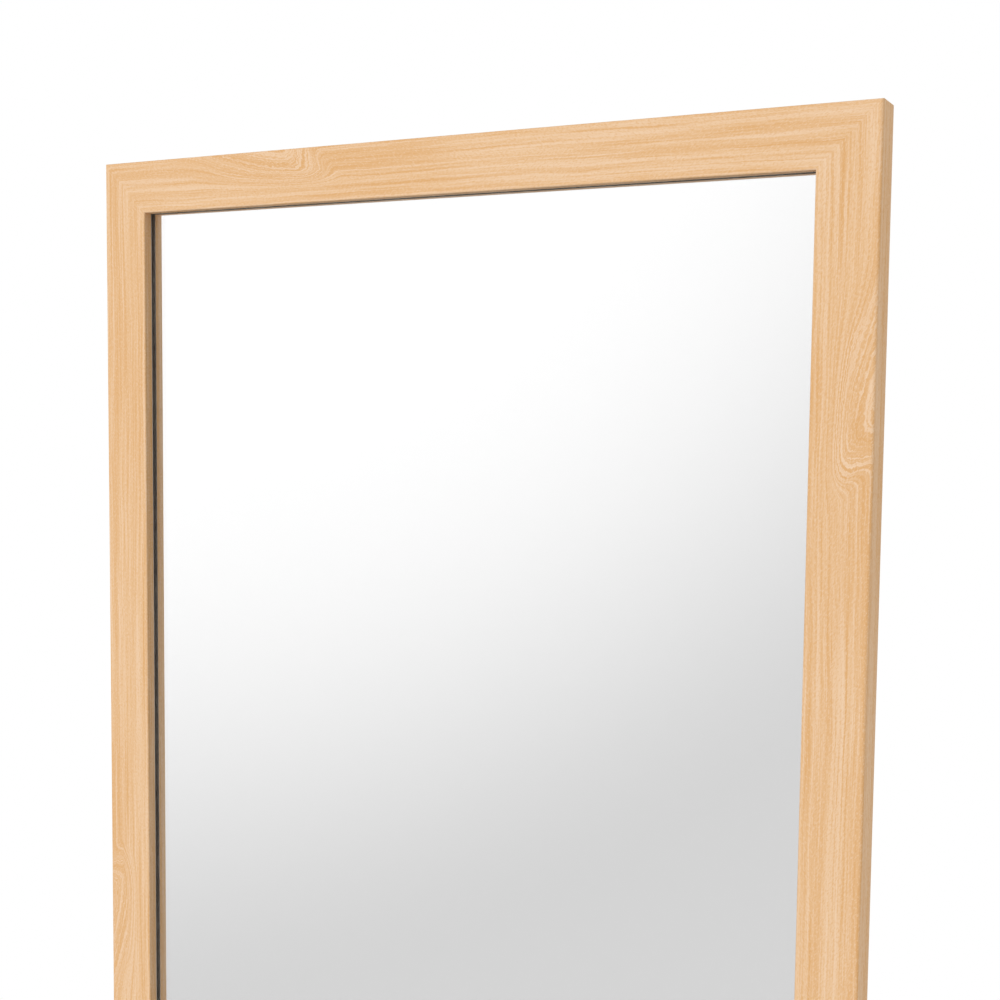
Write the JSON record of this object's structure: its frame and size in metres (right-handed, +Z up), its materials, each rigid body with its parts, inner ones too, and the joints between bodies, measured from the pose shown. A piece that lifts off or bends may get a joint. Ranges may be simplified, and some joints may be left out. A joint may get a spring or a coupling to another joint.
{
  "type": "cheval floor mirror",
  "caption": "Tall wood-framed mirror that tilts between posts on clamp knobs; the posts stand on long feet joined by a stretcher.",
  "frame": {"origin": "on the floor, under the middle of the stand", "axes": "+Z up; the mirror faces -Y at rest; +X towards the viewer's right"},
  "size_m": [0.5874, 0.44, 1.59],
  "materials": {
    "frame_wood": "matt lacquered light oak",
    "stand_wood": "matt lacquered light oak",
    "knob_wood": "turned and lacquered light oak",
    "dowel_wood": "fluted beech dowel",
    "mirror": "silvered float glass",
    "card": "plain brown card",
    "hardboard": "smooth brown hardboard",
    "rubber": "matt black rubber",
    "nylon": "natural nylon",
    "brass": "plain turned brass",
    "zinc_steel": "bright zinc plate",
    "black_steel": "black oxide"
  },
  "bodies": {
    "stand": {"left_post": "stand_wood", "right_post": "stand_wood", "left_foot": "stand_wood", "right_foot": "stand_wood", "stretcher": "stand_wood", "foot_glides": "rubber", "glide_screws": "zinc_steel", "foot_bolts": "black_steel", "foot_bolt_washers": "zinc_steel", "post_barrel_nuts": "zinc_steel", "foot_dowels": "dowel_wood", "stretcher_bolts": "black_steel", "stretcher_bolt_washers": "zinc_steel", "stretcher_barrel_nuts": "zinc_steel", "stretcher_dowels": "dowel_wood", "bolt_caps": "stand_wood", "left_pivot_bush": "brass", "right_pivot_bush": "brass"},
    "mirror": {"top_rail": "frame_wood", "bottom_rail": "frame_wood", "left_stile": "frame_wood", "right_stile": "frame_wood", "mirror_glass": "mirror", "glass_setting_blocks": "rubber", "packing_card": "card", "backing_board": "hardboard", "corner_plates": "zinc_steel", "corner_plate_screws": "zinc_steel", "retaining_clips": "zinc_steel", "clip_screws": "zinc_steel", "left_pivot_insert": "brass", "right_pivot_insert": "brass", "left_friction_spacer": "nylon", "right_friction_spacer": "nylon"},
    "left_washer": {"left_clamp_washer": "zinc_steel"},
    "left_knob": {"left_knob": "knob_wood", "left_knob_stud": "zinc_steel"},
    "right_washer": {"right_clamp_washer": "zinc_steel"},
    "right_knob": {"right_knob": "knob_wood", "right_knob_stud": "zinc_steel"}
  },
  "joints": [
    {"name": "mirror_tilt", "type": "hinge", "parent": "stand", "child": "mirror", "pos_m": [0, 0, 0.88], "axis": [1, 0, 0], "continuous": true},
    {"name": "left_knob_travel", "type": "slide", "parent": "mirror", "child": "left_washer", "axis": [-1, 0, 0], "range_m": [0, 0.0025]},
    {"name": "left_knob_turn", "type": "hinge", "parent": "left_washer", "child": "left_knob", "pos_m": [-0.26775, 0, 0.88], "axis": [-1, 0, 0], "range_deg": [0, 720]},
    {"name": "right_knob_travel", "type": "slide", "parent": "mirror", "child": "right_washer", "axis": [1, 0, 0], "range_m": [0, 0.0025]},
    {"name": "right_knob_turn", "type": "hinge", "parent": "right_washer", "child": "right_knob", "pos_m": [0.26775, 0, 0.88], "axis": [1, 0, 0], "range_deg": [0, 720]}
  ],
  "couplings": [
    {"joint": "left_knob_turn", "follows": "left_knob_travel", "rad_per_m": 5026.5},
    {"joint": "right_knob_turn", "follows": "right_knob_travel", "rad_per_m": 5026.5}
  ]
}
